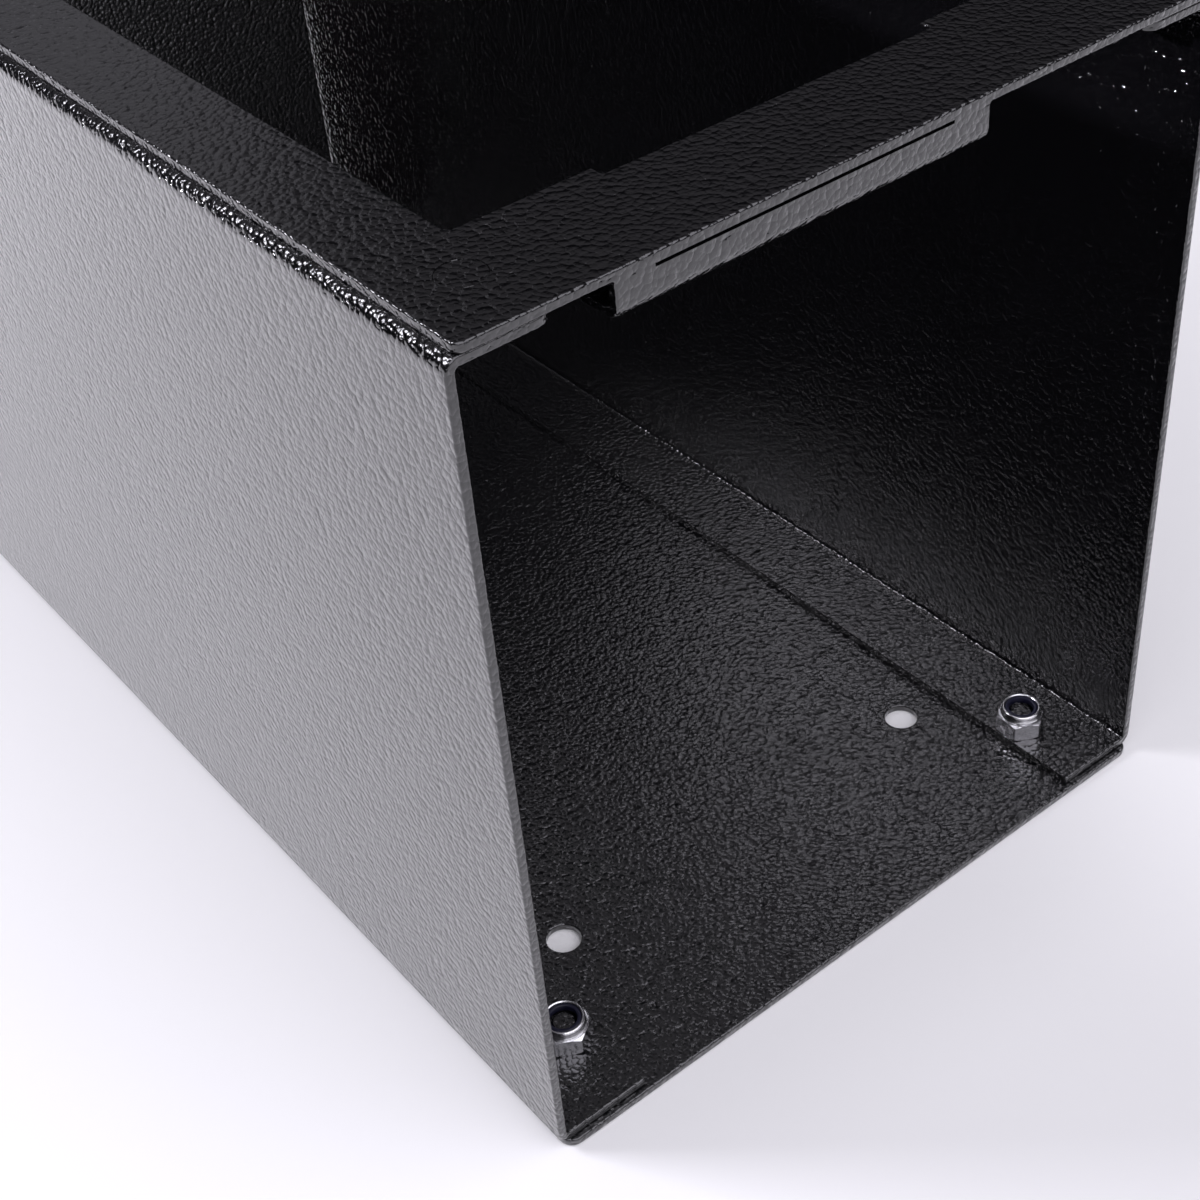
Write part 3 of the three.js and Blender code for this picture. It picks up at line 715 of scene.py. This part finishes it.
def catch_lip(face, left, underside):
    """The lip under the front edge: a flange that is folded up to meet the frame."""
    level = underside - LIP_DROP + SHEET / 2
    middle = face + SHEET / 2
    rear = face + LIP_RETURN
    lip = flat("lip", (left, middle, level), (left + LIP_WIDTH, rear, level))
    with editing(lip):
        pick_edges(lip, lambda at: close(at.y, middle))
        extrude((0, 0, underside + SHEET / 2 - level))
        pick_edges(lip, lambda at: close(at.y, middle) and close(at.z, level))
        bpy.ops.mesh.bevel(offset=LIP_BEND - SHEET / 2, segments=6, affect="EDGES")
    thicken(lip)
    return lip


def top_frame():
    low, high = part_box("top_frame")
    underside = high.z - SHEET
    plate_low = Vector((low.x, low.y, underside))
    plate = block("top_frame_panel", plate_low, high)
    with editing(plate):
        corner_edges(plate)
        bpy.ops.mesh.bevel(offset=FRAME_CORNER, segments=5, affect="EDGES")
    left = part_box("left_wall")[0].x + LIP_START
    weld(plate, catch_lip(low.y, left, underside))
    slot = block(
        "slot", (left + SLOT_START, low.y - SHEET, underside - SLOT_HEIGHT),
        (left + SLOT_START + SLOT_WIDTH, low.y + 2 * SHEET, underside))
    tall = Vector((0, 0, SHEET))
    cut(plate, *opening_cutters(plate_low, high + tall),
        *rivet_drills(hinge["pos_m"][1] + RIVET_REACH, underside, high.z))
    soften(plate)
    cut(plate, slot, *stud_drills("top_stud", underside, high.z), *[
        rod("drill", STUD_HEAD_HOLE, high.z - STUD_HEAD_THICKNESS, high.z + SHEET, at, 48)
        for at in stud_middles("top_stud")])
    shade(plate)
    return plate


# Fasteners, each made at the origin and standing on Z

def stud(length):
    """A pressed-in stud: a flat head, and a thread with a chamfered end."""
    profile = [
        (STUD_HEAD - 0.1 * MM, 0.03 * MM), (STUD_HEAD, 0.08 * MM),
        (STUD_HEAD, STUD_HEAD_THICKNESS - 0.05 * MM), (STUD, STUD_HEAD_THICKNESS - 0.05 * MM)]
    height = 2 * SHEET
    root = STUD - THREAD_DEPTH
    while height + THREAD_PITCH < length - THREAD_PITCH / 2:
        profile += [(STUD, height), (root, height + THREAD_PITCH / 2)]
        height += THREAD_PITCH
    profile += [(STUD, height), (STUD - STUD_TIP, length)]
    piece = turned("stud", profile, 48)
    shade(piece)
    return piece


def lock_nut(height):
    """A hexagon nut whose thin collar is rolled over a nylon ring."""
    radius = NUT_FLATS / math.sqrt(3)
    flat = NUT_FLATS / 2
    take()
    bpy.ops.mesh.primitive_cylinder_add(
        vertices=6, radius=radius, depth=NUT_HEX, location=(0, 0, NUT_HEX / 2))
    nut = named("lock_nut")
    with editing(nut):
        corner_edges(nut)
        bpy.ops.mesh.bevel(offset=0.2 * MM, segments=3, affect="EDGES")
    corners = turned("corners", [
        (flat - 0.1 * MM, 0), (flat + 0.1 * MM, 0.05 * MM), (radius + 0.1 * MM, NUT_CHAMFER),
        (radius + 0.1 * MM, NUT_HEX - NUT_CHAMFER), (flat + 0.1 * MM, NUT_HEX - 0.05 * MM),
        (flat - 0.1 * MM, NUT_HEX)])
    combine(nut, "INTERSECT", [corners])
    inner = COLLAR - COLLAR_WALL
    seat = NUT_HEX - 2 * NUT_CHAMFER
    collar = turned("collar", [
        (COLLAR + 0.35 * MM, seat), (COLLAR + 0.35 * MM, NUT_HEX + 0.02 * MM),
        (COLLAR + 0.12 * MM, NUT_HEX + 0.08 * MM), (COLLAR, NUT_HEX + 0.3 * MM),
        (COLLAR, height - 0.4 * MM), (COLLAR - 0.06 * MM, height - 0.18 * MM),
        (COLLAR - 0.18 * MM, height - 0.05 * MM), (COLLAR - 0.32 * MM, height),
        (inner, height - 0.04 * MM), (inner - 0.12 * MM, height - 0.14 * MM),
        (inner - 0.1 * MM, height - 0.28 * MM), (inner, height - 0.4 * MM), (inner, seat),
        (COLLAR + 0.35 * MM, seat)])
    weld(nut, collar)
    cut(nut, rod("bore", STUD_HOLE, -SHEET, height, sides=32))
    shade(nut)
    return nut


def nylon_ring(height):
    """The ring inside the collar, with the lip that grips the thread."""
    outer = COLLAR - COLLAR_WALL - 0.05 * MM
    low, high = NUT_HEX + 0.02 * MM, height - NYLON_SINK
    bore = STUD + 0.1 * MM
    ring = turned("nylon_ring", [
        (bore, low), (outer, low), (outer, high - 0.3 * MM), (outer - 0.1 * MM, high - 0.1 * MM),
        (outer - 0.3 * MM, high), (NYLON_BORE + 0.3 * MM, high),
        (NYLON_BORE + 0.08 * MM, high - 0.08 * MM), (NYLON_BORE, high - 0.3 * MM),
        (NYLON_BORE, high - NYLON_LIP), (bore, high - NYLON_LIP), (bore, low)], 40)
    shade(ring)
    return ring


def rivet(low, high):
    """A domed rivet, from the end of its set tail to the top of its head."""
    head_low, head_high = high - RIVET_HEAD_HEIGHT, high
    tail_high = low + RIVET_TAIL_HEIGHT
    dome = [(RIVET_HEAD * math.cos(turn), head_low + (head_high - head_low) * math.sin(turn))
            for turn in (math.radians(step) for step in (0, 18, 36, 54, 72, 84))]
    piece = turned("rivet", [
        (2.1 * MM, low), (RIVET_TAIL, low + 0.5 * MM), (RIVET_TAIL, tail_high),
        (RIVET_SHANK, tail_high), (RIVET_SHANK, head_low), *dome], 32)
    soften(piece, 0.08 * MM, 2)
    return piece


def fastener_sets():
    """The nuts, nylon rings and studs, each kind made once and copied to every place."""
    nut_low, nut_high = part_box("bottom_nut_front_left")
    stud_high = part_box("bottom_stud_front_left")[1].z
    kinds = {
        "stud": (stud(stud_high), 0),
        "nut": (lock_nut(nut_high.z - nut_low.z), 2 * SHEET),
        "nylon": (nylon_ring(nut_high.z - nut_low.z), 2 * SHEET),
    }
    frame_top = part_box("top_frame")[1].z
    for node in sorted(frame["nodes"]):
        plate, _, rest = node.partition("_")
        kind = rest.partition("_")[0]
        if plate not in ("bottom", "top") or kind not in kinds:
            continue
        model, seat = kinds[kind]
        at = (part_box(node)[0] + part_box(node)[1]) / 2
        place = Matrix.Translation((at.x, at.y, seat))
        if plate == "top":
            place = Matrix.Translation((at.x, at.y, frame_top - seat)) @ Matrix.Rotation(math.pi, 4, "X")
        dress(copied(model, f"{node}_piece", place), node)
    for model, _ in kinds.values():
        bpy.data.objects.remove(model)


# Hinge, made about its pin along X

def hinge_leaf(name, parity, direction, low, high):
    """A leaf with its knuckles, notched for the knuckles of the other leaf."""
    half = high.x
    edge = high.y if direction > 0 else low.y
    level = (low.z, low.z + LEAF_THICKNESS) if direction > 0 else leaf_level()
    leaf = block(name, (-half, min(0, edge), level[0]), (half, max(0, edge), level[1]))
    soften(leaf, 0.15 * MM, 2)
    pitch = 2 * half / KNUCKLES
    room = KNUCKLE + HINGE_GAP
    barrels, notches = [], []
    for i in range(KNUCKLES):
        start, end = -half + i * pitch, -half + (i + 1) * pitch
        gap_low, gap_high = HINGE_GAP / 2 * (i > 0), HINGE_GAP / 2 * (i < KNUCKLES - 1)
        if i % 2 == parity:
            barrel = axle("barrel", KNUCKLE, start + gap_low, end - gap_high, 36)
            soften(barrel, 0.15 * MM, 2)
            barrels.append(barrel)
        else:
            notches.append(block("notch", (start - gap_low, -room, -room),
                                 (end + gap_high, room, room)))
    cut(leaf, *notches)
    weld(leaf, *barrels)
    bore = axle("bore", PIN_BORE, -half - MM, half + MM, 32)
    drills = [rod("drill", RIVET_HOLE, level[0] - MM, level[1] + MM, (x, direction * RIVET_REACH), 24)
              for x in rivet_middles()]
    cut(leaf, bore, *drills)
    shade(leaf, 15, 100)
    return leaf


def leaf_level():
    """The heights between which the moving leaf's flat lies, under the lid's sheet."""
    under = box_in("lid_panel", lid_place)[1].z - SHEET - HINGE_GAP
    return under - LEAF_THICKNESS, under


def hinge_pin(high):
    """The pin with its two heads, out to the highest corner of its box."""
    head = high.z
    half = high.x
    pin = axle("hinge_pin_piece", PIN, -half + MM / 2, half - MM / 2)
    heads = [axle("head", head, *ends, 36)
             for ends in ((-half, -half + PIN_HEAD_THICKNESS), (half - PIN_HEAD_THICKNESS, half))]
    weld(pin, *heads)
    soften(pin, 0.25 * MM, 3)
    return pin


# Lid and lock, made in the lid's own frame, where the lid is shut

def lid_panel(low, high):
    """The lid: a sheet with its front and sides folded down."""
    lid = lid_block("lid_panel_piece", low, high, LID_BEND)
    inner = lid_block("inner", (low.x + SHEET, low.y + SHEET, low.z - SHEET),
                      (high.x - SHEET, high.y + SHEET, high.z - SHEET), LID_BEND - SHEET)
    under = high.z - SHEET
    lock = box_in("lock_housing", lid_place)
    middle = (lock[0] + lock[1]) / 2
    cut(lid, inner, rod("bore", HOUSING_HOLE, under - MM, high.z + MM, (middle.x, middle.y), 64),
        *rivet_drills(-RIVET_REACH, under, high.z))
    soften(lid)
    return lid


def lid_block(name, low, high, radius):
    """A block with the front and side edges of its top, and its front corners, rounded."""
    low, high = Vector(low), Vector(high)
    lid = block(name, low, high)
    with editing(lid):
        pick_edges(lid, lambda at: close(at.y, low.y) or close(at.z, high.z))
        unpick_edges(lid, lambda a, b: close(a.z, b.z) and close(a.z, low.z))
        unpick_edges(lid, lambda a, b: close(a.y, b.y) and close(a.y, high.y))
        bpy.ops.mesh.bevel(offset=radius, segments=6, affect="EDGES")
    return lid


def unpick_edges(piece, test):
    mesh = bmesh.from_edit_mesh(piece.data)
    for edge in mesh.edges:
        if edge.select and test(*(end.co for end in edge.verts)):
            edge.select_set(False)
    bmesh.update_edit_mesh(piece.data)


def bumper(low, high):
    radius = (high.x - low.x) / 2
    piece = turned("bumper", [
        (radius - 0.9 * MM, low.z), (radius - 0.25 * MM, low.z + 0.3 * MM),
        (radius, low.z + MM), (radius - 0.2 * MM, high.z - 0.8 * MM),
        (radius, high.z - 0.5 * MM), (radius, high.z)], 32)
    soften(piece, 0.15 * MM, 2)
    return moved(piece, Matrix.Translation(((low.x + high.x) / 2, (low.y + high.y) / 2, 0)))


def lock_housing(low, high):
    """The lock's housing: a threaded barrel under a flange with a stepped rim."""
    flange = (high.x - low.x) / 2
    seat = high.z - HOUSING_FLANGE_HEIGHT
    profile = [(HOUSING_BORE, low.z), (HOUSING - 0.5 * MM, low.z)]
    height = low.z + 0.5 * MM
    while height + HOUSING_THREAD < seat - MM:
        profile += [(HOUSING, height), (HOUSING - 0.45 * MM, height + HOUSING_THREAD / 2)]
        height += HOUSING_THREAD
    profile += [
        (HOUSING, height), (HOUSING, seat), (flange, seat), (flange, high.z - 0.9 * MM),
        (flange - 1.2 * MM, high.z - 0.1 * MM), (flange - 1.8 * MM, high.z),
        (HOUSING_BORE + 0.9 * MM, high.z), (HOUSING_BORE + 0.6 * MM, high.z - 0.25 * MM),
        (HOUSING_BORE, high.z - 0.25 * MM), (HOUSING_BORE, low.z)]
    piece = turned("lock_housing_piece", profile, 64)
    soften(piece, 0.12 * MM, 2)
    return piece


def lock_ring_nut(low, high):
    flat = (high.x - low.x) / 2
    radius = 2 * flat / math.sqrt(3)
    take()
    bpy.ops.mesh.primitive_cylinder_add(
        vertices=6, radius=radius, depth=high.z - low.z,
        location=(0, 0, (low.z + high.z) / 2))
    nut = named("lock_ring_nut_piece")
    with editing(nut):
        corner_edges(nut)
        bpy.ops.mesh.bevel(offset=0.25 * MM, segments=3, affect="EDGES")
    corners = turned("corners", [
        (flat - 0.2 * MM, low.z), (flat + 0.1 * MM, low.z + 0.1 * MM),
        (radius + 0.1 * MM, low.z + 0.8 * MM), (radius + 0.1 * MM, high.z - 0.8 * MM),
        (flat + 0.1 * MM, high.z - 0.1 * MM), (flat - 0.2 * MM, high.z)], 64)
    combine(nut, "INTERSECT", [corners])
    cut(nut, rod("bore", HOUSING_HOLE, low.z - MM, high.z + MM, sides=64))
    shade(nut)
    return nut


def lock_plug(low, high):
    """The plug: a barrel with a round groove for the key, a middle post and a square end."""
    radius = (high.x - low.x) / 2
    cam_low, cam_high = box_in("lock_cam", lid_place)
    shoulder = cam_high.z + HINGE_GAP
    floor = high.z - GROOVE_DEPTH
    barrel = turned("lock_plug_piece", [
        (radius - 0.3 * MM, shoulder), (radius, shoulder + 0.3 * MM), (radius, high.z - 0.2 * MM),
        (radius - 0.2 * MM, high.z), (GROOVE, high.z), (GROOVE, floor), (POST, floor),
        (POST, high.z - 0.2 * MM), (POST - 0.2 * MM, high.z)], 64)
    half = SQUARE / 2
    weld(barrel, block("square", (-half, -half, cam_low.z), (half, half, shoulder + MM)))
    screw_high = box_in("cam_screw", lid_place)[1].z
    cut(barrel, rod("bore", SCREW_SHANK + HINGE_GAP, cam_low.z - MM, screw_high + HINGE_GAP, sides=24))
    soften(barrel, 0.1 * MM, 2)
    return barrel


def key(low, high):
    """The key: a tube that goes round the lock's post, and a flat bow with a hole for a ring."""
    neck = high.z - KEY_BOW_HEIGHT + KEY_BOW_LAP
    tube = turned("key_piece", [
        (KEY_BORE, low.z), (KEY_TUBE - 0.15 * MM, low.z), (KEY_TUBE, low.z + 0.15 * MM),
        (KEY_TUBE, neck - 2.2 * MM), (KEY_TUBE + 0.5 * MM, neck - 1.9 * MM),
        (KEY_TUBE + 0.5 * MM, neck - 0.6 * MM), (KEY_TUBE, neck), (KEY_BORE, neck),
        (KEY_BORE, low.z)], 48)
    half = (high.x - low.x) / 2
    thin = KEY_BOW_THICKNESS / 2
    bow = block("bow", (-half, -thin, high.z - KEY_BOW_HEIGHT), (half, thin, high.z))
    with editing(bow):
        pick_edges(bow, lambda at: True)
        unpick_edges(bow, lambda a, b: close(a.y, b.y))
        bpy.ops.mesh.bevel(offset=KEY_BOW_CORNER, segments=10, affect="EDGES")
    with editing(bow, "FACE"):
        pick_faces(bow, lambda at, normal: abs(normal.y) > 0.9)
        bpy.ops.mesh.inset(thickness=1.1 * MM, depth=-0.3 * MM, use_individual=True)
    weld(tube, bow)
    take()
    bpy.ops.mesh.primitive_cylinder_add(
        vertices=48, radius=KEY_HOLE, depth=6 * MM,
        location=(0, 0, high.z - KEY_HOLE_WALL - KEY_HOLE), rotation=(math.pi / 2, 0, 0))
    cut(tube, named("drill"))
    soften(tube, 0.15 * MM, 3)
    return tube


def lock_cam(low, high):
    """The cam: a round hub with a square hole, and a straight flat arm."""
    hub = -low.x
    arm = block("lock_cam_piece", (0, -CAM_WIDTH / 2, low.z), (high.x, CAM_WIDTH / 2, high.z))
    with editing(arm):
        pick_edges(arm, lambda at: close(at.x, high.x))
        unpick_edges(arm, lambda a, b: close(a.z, b.z))
        bpy.ops.mesh.bevel(offset=CAM_CORNER, segments=5, affect="EDGES")
    weld(arm, rod("hub", hub, low.z, high.z, sides=48))
    half = SQUARE / 2 + HINGE_GAP
    cut(arm, block("square", (-half, -half, low.z - MM), (half, half, high.z + MM)))
    soften(arm, 0.3 * MM, 3)
    return arm


def cam_washer(low, high):
    radius = (high.x - low.x) / 2
    bore = SCREW_SHANK + HINGE_GAP
    washer = turned("cam_washer_piece", [
        (bore, low.z), (radius, low.z), (radius, high.z), (bore, high.z), (bore, low.z)], 48)
    soften(washer, 0.2 * MM, 3)
    return washer


def cam_screw(low, high):
    """A pan-head screw with a cross recess, head down."""
    radius = (high.x - low.x) / 2
    seat = low.z + SCREW_HEAD_HEIGHT
    screw = turned("cam_screw_piece", [
        (radius * 0.62, low.z), (radius * 0.86, low.z + 0.35 * MM), (radius, low.z + MM),
        (radius, seat), (SCREW_SHANK, seat), (SCREW_SHANK, high.z - 0.5 * MM),
        (SCREW_SHANK - 0.5 * MM, high.z)], 40)
    long, narrow = CROSS_LENGTH / 2, CROSS_WIDTH / 2
    floor = low.z + CROSS_DEPTH
    cut(screw, block("cross", (-long, -narrow, low.z - MM), (long, narrow, floor)),
        block("cross", (-narrow, -long, low.z - MM), (narrow, long, floor)))
    soften(screw, 0.12 * MM, 2)
    return screw


def case_pieces():
    dress(bottom_plate(), "bottom_plate")
    for node in ("left_wall", "right_wall"):
        dress(side_wall(node), node)
    dress(rear_wall(), "rear_wall")
    dress(top_frame(), "top_frame")
    fastener_sets()


def hinge_pieces():
    low, high = box_in("hinge_fixed_leaf", hinge_place)
    fixed = hinge_leaf("hinge_fixed_leaf_piece", 0, 1, low, high)
    dress(moved(fixed, hinge_place), "hinge_fixed_leaf")
    low, high = box_in("hinge_moving_leaf", lid_place)
    moving = hinge_leaf("hinge_moving_leaf_piece", 1, -1, low, high)
    dress(moved(moving, lid_place), "hinge_moving_leaf")
    pin = hinge_pin(box_in("hinge_pin", hinge_place)[1])
    dress(moved(pin, hinge_place), "hinge_pin")
    for leaf, place, reach in (("fixed", hinge_place, RIVET_REACH), ("moving", lid_place, -RIVET_REACH)):
        low, high = box_in(f"{leaf}_leaf_rivet_1", place)
        model = rivet(low.z, high.z)
        for number, x in enumerate(rivet_middles(), 1):
            node = f"{leaf}_leaf_rivet_{number}"
            spot = place @ Matrix.Translation((x, reach, 0))
            dress(copied(model, f"{node}_piece", spot), node)
        bpy.data.objects.remove(model)


def lid_pieces():
    dress(moved(lid_panel(*box_in("lid_panel", lid_place)), lid_place), "lid_panel")
    for side in ("left", "right"):
        node = f"lid_bumper_{side}"
        piece = bumper(*box_in(node, lid_place))
        piece.name = f"{node}_piece"
        dress(moved(piece, lid_place), node)


def lock_pieces():
    low, high = box_in("lock_housing", lid_place)
    lock_place = lid_place @ Matrix.Translation((0, (low.y + high.y) / 2, 0))
    for make in (lock_housing, lock_ring_nut, lock_plug, key, lock_cam, cam_washer, cam_screw):
        node = make.__name__
        piece = make(*box_in(node, lock_place))
        dress(moved(piece, lock_place), node)


# Studio

def floor_material():
    """Matte white paper with a faint unevenness."""
    finish = Finish("floor")
    return finish.set(
        Base_Color=finish.blend(finish.noise(3, detail=2.0), (0.98, 0.98, 0.97), (0.95, 0.95, 0.94)),
        Roughness=0.7,
    )


def studio():
    """A white table with a softbox and a low spot at the left, and large soft lamps in front."""
    take()
    bpy.ops.mesh.primitive_plane_add(size=FLOOR_SIZE, location=(0, 0, 0))
    floor = named("floor")
    floor.data.materials.append(floor_material())
    for name, azimuth, elevation, strength, spread in SUNS:
        turn, rise = math.radians(azimuth), math.radians(elevation)
        towards = Vector((math.sin(turn) * math.cos(rise), math.cos(turn) * math.cos(rise),
                          math.sin(rise)))
        sun = lamp(name, "SUN", towards, Vector(), strength)
        sun.angle = math.radians(spread)
    softbox = lamp("left_softbox", "AREA", SOFTBOX_PLACE, SOFTBOX_AIM, SOFTBOX_POWER)
    softbox.size = SOFTBOX_SIZE
    spot = lamp("low_spot", "SPOT", SPOT_PLACE, SPOT_AIM, SPOT_POWER)
    spot.spot_size = math.radians(SPOT_CONE)
    spot.spot_blend = 1.0
    spot.shadow_soft_size = SPOT_RADIUS
    sky()


def lamp(name, kind, place, aim, power):
    """A lamp that is aimed at a point, and its data."""
    bpy.ops.object.light_add(type=kind, location=place)
    made = bpy.context.object
    made.name = name
    made.rotation_mode = "QUATERNION"
    made.rotation_quaternion = (place - aim).to_track_quat("Z", "Y")
    made.data.energy = power
    made.data.color = LAMP_COLOR
    return made.data


def sky():
    """A dark studio all round, paler overhead."""
    world = bpy.data.worlds.new("studio")
    world.use_nodes = True
    bpy.context.scene.world = world
    nodes, links = world.node_tree.nodes, world.node_tree.links
    direction = nodes.new("ShaderNodeTexCoord")
    split = nodes.new("ShaderNodeSeparateXYZ")
    ramp = nodes.new("ShaderNodeValToRGB")
    links.new(direction.outputs["Generated"], split.inputs[0])
    links.new(split.outputs["Z"], ramp.inputs["Fac"])
    links.new(ramp.outputs["Color"], nodes["Background"].inputs["Color"])
    nodes["Background"].inputs["Strength"].default_value = 1.0
    low, high = ramp.color_ramp.elements
    low.position, low.color = SKY_LOW
    high.position, high.color = SKY_HIGH


def camera():
    bpy.ops.object.camera_add(location=CAMERA_PLACE)
    shot = bpy.context.object
    shot.data.sensor_width = SENSOR
    shot.data.lens = FOCAL_PIXELS * SENSOR / PHOTO_PIXELS
    shot.data.clip_start = 0.01
    forward = Vector((-math.sin(CAMERA_AZIMUTH) * math.cos(CAMERA_ELEVATION),
                      math.cos(CAMERA_AZIMUTH) * math.cos(CAMERA_ELEVATION),
                      -math.sin(CAMERA_ELEVATION)))
    aim = forward.to_track_quat("-Z", "Y").to_matrix() @ Matrix.Rotation(CAMERA_ROLL, 3, "Z")
    shot.rotation_mode = "QUATERNION"
    shot.rotation_quaternion = aim.to_quaternion()
    bpy.context.scene.camera = shot


camera()
studio()
case_pieces()
hinge_pieces()
lid_pieces()
lock_pieces()
bpy.context.scene.view_settings.view_transform = "Standard"
